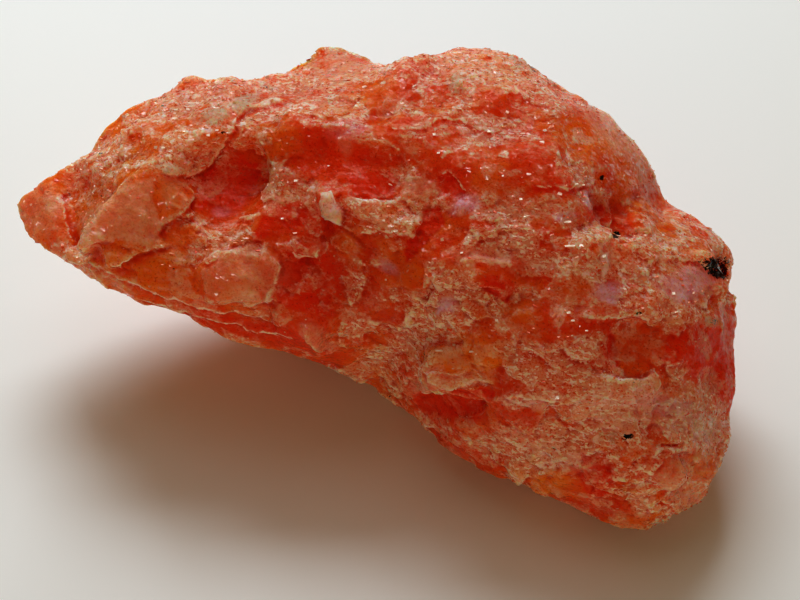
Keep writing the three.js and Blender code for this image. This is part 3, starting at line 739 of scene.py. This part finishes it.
def saltMaterial():
    deepest = salt["scatter"][0]
    material, shader = newFinish(
        "cloudyRedSalt",
        IOR=salt["index"],
        Specular_IOR_Level=salt["shine"],
        Coat_IOR=salt["index"],
        Coat_Roughness=salt["glintRoughness"],
        Subsurface_Weight=salt["cloudiness"],
        Subsurface_Radius=tuple(r / deepest for r in salt["scatter"]),
        Subsurface_Scale=deepest * mm,
    )
    nodes, links = material.node_tree.nodes, material.node_tree.links

    def put(socket, value):
        if isinstance(value, bpy.types.NodeSocket):
            links.new(value, socket)
        else:
            socket.default_value = value

    def add(kind, settings=(), **inputs):
        made = nodes.new(kind)
        for key, value in dict(settings).items():
            setattr(made, key, value)
        for key, value in inputs.items():
            put(made.inputs[key.replace("_", " ")], value)
        return made

    def mask(name):
        return add("ShaderNodeAttribute", {"attribute_name": name}).outputs["Fac"]

    def maths(operation, a, b=0.0, c=0.0):
        made = nodes.new("ShaderNodeMath")
        made.operation = operation
        for socket, value in zip(made.inputs, (a, b, c)):
            put(socket, value)
        return made.outputs[0]

    def times(a, b):
        return maths("MULTIPLY", a, b)

    def timesPlus(a, b, c):
        return maths("MULTIPLY_ADD", a, b, c)

    def vectors(operation, a, b=None, scale=None):
        made = add("ShaderNodeVectorMath", {"operation": operation})
        put(made.inputs[0], a)
        if b is not None:
            put(made.inputs[1], b)
        if scale is not None:
            put(made.inputs["Scale"], scale)
        return made.outputs[0]

    def ramp(value, low, high, outLow=0.0, outHigh=1.0):
        made = add("ShaderNodeMapRange", {"interpolation_type": "SMOOTHSTEP"}, Value=value)
        for key, number in zip(("From Min", "From Max", "To Min", "To Max"), (low, high, outLow, outHigh)):
            made.inputs[key].default_value = number
        return made.outputs[0]

    def paint(below, share, colour):
        made = add("ShaderNodeMix", {"data_type": "RGBA"})
        put(made.inputs["Factor"], share)
        for socket, value in ((made.inputs[6], below), (made.inputs[7], colour)):
            put(socket, (*value, 1) if isinstance(value, tuple) else value)
        return made.outputs[2]

    place = add("ShaderNodeTexCoord").outputs["Object"]
    middleGrey = (0.5, 0.5, 0.5)

    def noise(size, detail, output="Fac"):
        scale = 1 / (size * mm)
        made = add("ShaderNodeTexNoise", Vector=place, Scale=scale, Detail=detail, Roughness=0.6)
        return made.outputs[output]

    def tone(colourOutput):
        return add("ShaderNodeSeparateColor", Color=colourOutput).outputs[0]

    # Ragged grain borders: the place is pushed about and squeezed along the streaks first
    size, detail, reach = salt["grainWander"]
    push = vectors("SUBTRACT", noise(size, detail, "Color"), middleGrey)
    ragged = vectors("ADD", place, vectors("SCALE", push, scale=reach * mm))

    def grainPattern(name):
        size, stretch = salt["grainSizes"][name], salt["grainStretch"][name]
        turn = (0, 0, salt["grainTurn"])
        where = add("ShaderNodeMapping", Vector=ragged, Scale=(1 / stretch, 1, 1), Rotation=turn).outputs[0]
        cell = add("ShaderNodeTexVoronoi", {"feature": "F1"}, Vector=where, Scale=1 / (size * mm))
        return cell.outputs["Color"]

    patterns = {name: grainPattern(name) for name in salt["grainSizes"]}
    broadNoise, midNoise, fineNoise, rimNoise = (noise(*look) for look in salt["noises"].values())

    # Colour, from the deep red outwards, with painted shade where the stone is sunken or turned from the
    # light
    colour = paint(salt["red"], ramp(broadNoise, 0.42, 0.62, 0.0, 0.6), salt["orange"])
    colour = paint(colour, times(mask("wing"), 0.8), salt["orange"])
    colour = paint(colour, times(mask("orange"), 0.9), salt["orange"])
    # painted shade: sunken places, and the shaded spots of the deep mask, are painted deep red
    recessShade = ramp(mask("proud"), 0.46, 0.2)
    deep = maths("MAXIMUM", mask("deep"), times(recessShade, 0.5))
    colour = paint(colour, deep, salt["deepRed"])
    middleTone = tone(patterns["middle"])
    smallTone = tone(patterns["small"])

    # Frosting: every flake has its own share, its rim is paler, and crumbs break it up
    look = salt["cover"]
    cover = timesPlus(mask("frost"), look["frost"], look["everywhere"])
    cover = timesPlus(maths("SUBTRACT", mask("proud"), 0.5), look["proud"], cover)
    cover = timesPlus(mask("deep"), look["deep"], cover)
    cover = timesPlus(mask("calm"), look["calm"], cover)
    for name, share in look["tones"].items():
        cover = timesPlus(maths("SUBTRACT", mask(name), 0.5), share, cover)
    cover = timesPlus(maths("SUBTRACT", middleTone, 0.5), look["grain"], cover)
    cover = timesPlus(maths("SUBTRACT", midNoise, 0.5), look["cloud"], cover)
    cover = maths("MAXIMUM", cover, 0.02)
    gain, lift, sharpness = salt["crumble"]
    crumbs = maths("POWER", timesPlus(fineNoise, gain, lift), sharpness)
    crumbs = paint(crumbs, times(mask("calm"), 0.7), (0.9, 0.9, 0.9))
    frosted = maths("MINIMUM", times(cover, crumbs), look["most"])
    colour = paint(colour, frosted, salt["frost"])
    strokes = 0.0
    for name, (width, share) in salt["strokes"].items():
        wavy = timesPlus(fineNoise, 0.25, mask(name + "Border"))
        rim = times(ramp(wavy, 0.12 + width, 0.12), ramp(rimNoise, 0.42, 0.6))
        strokes = timesPlus(rim, ramp(cover, 0.0, 0.35, 0.22 * share, share), strokes)
    strokes = times(strokes, timesPlus(mask("calm"), -0.75, 1.0))
    lipLine = ramp(timesPlus(fineNoise, 0.3, mask("lipLine")), 0.30, 0.20)
    strokes = maths("MAXIMUM", strokes, times(lipLine, ramp(rimNoise, 0.35, 0.5, 0.3, 0.9)))
    # pale flecks on single small grains: partly frost, partly painted sparkle of facets that catch the
    # window
    sparkleSpecks = times(ramp(smallTone, 0.79, 0.83), ramp(cover, 0.0, 0.5, 0.08, 1.0))
    sparkleSpecks = times(sparkleSpecks, timesPlus(mask("calm"), -0.8, 1.0))
    strokes = maths("MAXIMUM", strokes, sparkleSpecks)
    strokes = timesPlus(mask("edge"), ramp(fineNoise, 0.4, 0.6, 0.1, 0.5), strokes)
    colour = paint(colour, times(mask("shade"), 0.6), salt["deepRed"])
    # painted shade: the creases and the fine cracks of the noise are darkened
    creaseShading = maths("MAXIMUM", ramp(fineNoise, 0.45, 0.32, 0.0, 0.6), times(mask("creaseShade"), 0.7))
    colour = paint(colour, creaseShading, salt["creaseShade"])
    colour = paint(colour, maths("MINIMUM", strokes, 1.0), salt["paleStrokeAndSparkle"])
    colour = paint(colour, times(mask("pale"), ramp(crumbs, 0.1, 2.0, 0.35, 0.9)), salt["pale"])
    colour = paint(colour, times(mask("lilac"), ramp(fineNoise, 0.3, 0.6, 0.35, 0.8)), salt["lilac"])
    colour = paint(colour, times(mask("whiteAndGlint"), ramp(fineNoise, 0.3, 0.5, 0.4, 0.9)), salt["whiteAndGlint"])
    grit = timesPlus(fineNoise, 1.6, times(midNoise, 0.6))
    clayShare = ramp(maths("ADD", grit, mask("clay")), 1.5, 2.2, 0.0, 0.8)
    colour = paint(colour, times(clayShare, ramp(mask("clay"), 0.05, 0.3)), salt["clay"])
    darkShare = ramp(timesPlus(fineNoise, 1.8, mask("dark")), 1.35, 1.6)
    colour = paint(colour, times(darkShare, ramp(mask("dark"), 0.05, 0.3)), salt["dark"])
    put(shader.inputs["Base Color"], colour)

    # Flat cleavage faces, each tilted its own way, under a fine frosting
    def leaning(tilts):
        normal = add("ShaderNodeNewGeometry").outputs["Normal"]
        for name, tilt in tilts.items():
            lean = vectors("SCALE", vectors("SUBTRACT", patterns[name], middleGrey), scale=tilt)
            normal = vectors("NORMALIZE", vectors("ADD", normal, lean))
        return normal

    bumpHeight = timesPlus(fineNoise, 0.3, midNoise)
    distance, strength = salt["bump"]
    relief = add("ShaderNodeBump", Height=bumpHeight, Distance=distance * mm, Strength=strength)
    put(relief.inputs["Normal"], leaning(salt["grainTilts"]))
    put(shader.inputs["Normal"], relief.outputs[0])

    put(shader.inputs["Coat Normal"], leaning(salt["glintTilts"]))
    sparkle = ramp(smallTone, 0.62, 0.68, 0.0, salt["glint"])
    notDeep = timesPlus(maths("MINIMUM", mask("deep"), 1.0), -0.85, 1.0)
    put(shader.inputs["Coat Weight"], times(sparkle, notDeep))
    gloss = ramp(middleTone, 0.5, 0.9, salt["roughness"], 0.1)
    put(shader.inputs["Roughness"], maths("ADD", gloss, times(frosted, 0.25)))
    return material


# Thin cleavage chips that stick out of the frosted places and catch the light
chips = {
    "count": 6000,
    "length": (0.14, 0.62),  # mm
    "width": (0.35, 0.9),  # of the length
    "thickness": 0.05,
    "grit": 0.2,  # size of the fine bumps on them
    "gritHeight": 0.02,
    "corners": (0.35, 0.6),  # how far out each corner is, against the length and width
    "where": {  # what draws them, and what keeps them away
        "everywhere": 0.25, "proud": 1.2, "flakesTone": 0.8, "deep": 0.5, "calm": 0.7, "least": 0.06,
    },
    "upwards": 0.55,  # share that lies along the one cleavage direction
    "spread": 0.22,  # how far that direction wanders
    "seed": 12,
    "cleavage": (-0.05, 0.14, 0.99),  # the direction that those lie square to
    "rooted": (0.1, 0.03),  # mm that a chip may reach out of the stone, and that its middle may
    "colours": ((0.80, 0.10, 0.02), (0.86, 0.30, 0.14), (0.93, 0.72, 0.56)),
    "roughness": 0.16,
    "shine": 0.9,
    "brightShare": 0.65,  # size of the bright plates against what is given for them
    "brightLift": 0.12,  # mm that they stand out towards the camera
    "bright": [  # plates that throw the window back: middle in the picture, length and width in its pixels
        ((568, 221), 11, 4), ((567, 247), 15, 4), ((578, 183), 6, 3), ((585, 185), 7, 3),
        ((439, 349), 12, 3), ((453, 343), 4, 4), ((472, 354), 8, 3), ((295, 182), 6, 5),
        ((208, 133), 5, 5), ((161, 147), 5, 4), ((675, 292), 5, 5), ((501, 175), 4, 4), ((521, 197), 5, 5),
        ((433, 134), 5, 5), ((488, 130), 6, 4), ((460, 252), 4, 3), ((496, 319), 4, 5), ((426, 338), 9, 5),
        ((281, 219), 5, 4), ((436, 152), 5, 4), ((568, 311), 6, 4), ((588, 330), 4, 3), ((606, 256), 7, 6),
        ((558, 399), 6, 5), ((680, 408), 6, 4),
    ],
}


def makeChips(stone):
    mesh = stone.data
    mesh.calc_loop_triangles()
    corner = readOut(mesh.loop_triangles, "vertices", 3, np.int32)
    area = readOut(mesh.loop_triangles, "area", 1)[:, 0]
    points = closedNet(mesh)[0]
    normals = normalsOf(mesh, points)
    share = {}
    for name in ("frost", "deep", "calm", "proud", "flakesTone"):
        values = readOut(mesh.attributes[name].data, "value", 1, np.float32)[:, 0]
        share[name] = values[corner].mean(1)
    where = chips["where"]
    wanted = where["everywhere"] + share["frost"] + where["proud"] * (share["proud"] - 0.4)
    wanted = wanted + where["flakesTone"] * share["flakesTone"] ** 2 - where["deep"] * share["deep"]
    wanted = area * np.clip(wanted, where["least"], None) * (1 - where["calm"] * share["calm"])
    wanted = wanted * (points[corner, 2].mean(1) > stoneMesh["underside"])
    rng = np.random.default_rng(chips["seed"])
    number = chips["count"]
    picked = rng.choice(len(area), number, p=wanted / wanted.sum())
    mix = rng.dirichlet((1, 1, 1), number)
    middle = np.einsum("nk,nkj->nj", mix, points[corner[picked]])
    normal = np.einsum("nk,nkj->nj", mix, normals[corner[picked]])
    plane = np.array(chips["cleavage"]) + 0.15 * normal
    alike = rng.random((number, 1)) < chips["upwards"]
    scattered = rng.normal(size=normal.shape)
    upright = unit(np.where(alike, plane + chips["spread"] * scattered, normal + 0.5 * scattered))
    along = rightward + 0.35 * rng.normal(size=upright.shape)
    along = unit(along - upright * dots(along, upright)[:, None])
    across = np.cross(upright, along)
    low, high = chips["length"]
    length = low + (high - low) * rng.random(number) ** 2
    width = length * rng.uniform(*chips["width"], number)
    tints = rng.random(number)
    sticksOut = np.hypot(dots(along, normal) * length, dots(across, normal) * width)
    reach, most = chips["rooted"]
    middle = middle + normal * np.minimum(reach - 0.5 * sticksOut, most)[:, None]
    pixels = toPhoto(points)
    shine = wayTo(room["window"]) + towardCamera
    shine /= np.linalg.norm(shine)
    for at, long, wide in chips["bright"]:
        gap = np.linalg.norm(pixels - at, axis=1)
        near = np.flatnonzero((gap < 2.5) & (normals @ towardCamera > 0))
        if len(near):
            top = points[near[np.argmax(points[near] @ towardCamera)]]
            picked = rng.integers(number)  # this chip becomes the plate
            middle[picked] = top + chips["brightLift"] * towardCamera
            upright[picked] = shine
            along[picked] = rightward - shine * (rightward @ shine)
            across[picked] = np.cross(upright[picked], along[picked])
            size = np.array([long, wide]) * chips["brightShare"] * photo["mmPerPixel"]
            length[picked], width[picked] = size
            tints[picked] = 1
    x = np.array([-1, 1, 1, -1]) * length[:, None] * rng.uniform(*chips["corners"], (number, 4))
    y = np.array([-1, -1, 1, 1]) * width[:, None] * rng.uniform(*chips["corners"], (number, 4))
    flat = along[:, None] * x[..., None] + across[:, None] * y[..., None]
    lift = upright[:, None] * chips["thickness"] / 2
    ring = np.concatenate([middle[:, None] + flat - lift, middle[:, None] + flat + lift], 1)
    ring = inCadBox(ring).reshape(-1, 3)
    box = np.array([(3, 2, 1, 0), (4, 5, 6, 7), (0, 1, 5, 4), (1, 2, 6, 5), (2, 3, 7, 6), (3, 0, 4, 7)])
    faces = (np.arange(number)[:, None, None] * 8 + box).reshape(-1, 4).tolist()
    made = bpy.data.meshes.new("cleavageChips")
    made.from_pydata((ring * mm).tolist(), [], faces)
    made.update()
    tint = made.attributes.new("tint", "FLOAT", "POINT")
    tint.data.foreach_set("value", np.repeat(tints, 8).astype(np.float32))
    made.materials.append(chipMaterial())
    piece = placed("cleavageChips", made)
    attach(piece, "root")
    print("chips:", number)


def chipMaterial():
    material, shader = newFinish("chippedSalt", Roughness=chips["roughness"], IOR=salt["index"])
    shader.inputs["Specular IOR Level"].default_value = chips["shine"]
    nodes, links = material.node_tree.nodes, material.node_tree.links
    tint = nodes.new("ShaderNodeAttribute")
    tint.attribute_name = "tint"
    ramp = nodes.new("ShaderNodeValToRGB")
    dull, middling, bright = chips["colours"]
    ramp.color_ramp.elements[0].color = (*dull, 1)
    ramp.color_ramp.elements[1].color = (*bright, 1)
    ramp.color_ramp.elements.new(0.6).color = (*middling, 1)
    links.new(tint.outputs["Fac"], ramp.inputs["Fac"])
    grit = nodes.new("ShaderNodeTexNoise")
    grit.inputs["Scale"].default_value = 1 / (chips["grit"] * mm)
    bump = nodes.new("ShaderNodeBump")
    bump.inputs["Distance"].default_value = chips["gritHeight"] * mm
    links.new(grit.outputs["Fac"], bump.inputs["Height"])
    links.new(ramp.outputs["Color"], shader.inputs["Base Color"])
    links.new(bump.outputs["Normal"], shader.inputs["Normal"])
    return material


# The table and the light; the sizes are in mm
room = {
    "floor": (0.92, 0.92, 0.92),
    "floorRoughness": 0.55,
    "tableHalf": 1.6,  # metres
    "around": (0.13, 0.096, 0.056),
    "window": {
        "bearing": -9,  # degrees round the table from straight behind the stone
        "height": 46,  # degrees above the table
        "distance": 520,  # mm
        "size": (300, 210),
        "power": 1.44,
        "colour": (0.85, 0.95, 1.0),
    },
    "ceiling": {
        "bearing": -20,
        "height": 68,
        "distance": 500,
        "size": (400, 400),
        "power": 0.22,
        "colour": (0.97, 0.99, 1.0),
    },
    "front": {
        "bearing": -184,
        "height": 11,
        "distance": 620,
        "size": (420, 120),
        "power": 0.66,
        "colour": (1.0, 0.76, 0.5),
    },
}


def areaLight(name, look):
    light = bpy.data.lights.new(name, "AREA")
    light.shape = "RECTANGLE"
    light.size, light.size_y = (s * mm for s in look["size"])
    light.energy = look["power"]
    light.color = look["colour"]
    lamp = placed(name, light)
    way = Vector(wayTo(look))
    lamp.location = way * look["distance"] * mm
    lamp.rotation_mode = "QUATERNION"
    lamp.rotation_quaternion = way.to_track_quat("Z", "Y")
    return lamp


def makeRoom():
    half = room["tableHalf"]
    mesh = bpy.data.meshes.new("table")
    corners = [(-half, -half, 0), (half, -half, 0), (half, half, 0), (-half, half, 0)]
    mesh.from_pydata(corners, [], [(0, 1, 2, 3)])
    table = placed("table", mesh)
    looks = {"Base_Color": (*room["floor"], 1), "Roughness": room["floorRoughness"]}
    mesh.materials.append(newFinish("paleTable", **looks)[0])
    areaLight("window", room["window"])
    areaLight("ceiling", room["ceiling"])
    areaLight("front", room["front"]).visible_glossy = False
    world = bpy.data.worlds.new("room")
    world.use_nodes = True
    background = world.node_tree.nodes["Background"]
    background.inputs["Color"].default_value = (*room["around"], 1)
    bpy.context.scene.world = world
    bpy.context.scene.view_settings.view_transform = "Standard"
    bpy.context.scene.view_settings.look = "High Contrast"


makeCamera()
stone = makeStone()
stone.data.materials.append(saltMaterial())
makeChips(stone)
print("stone: finished")
makeRoom()
print("room: lit")
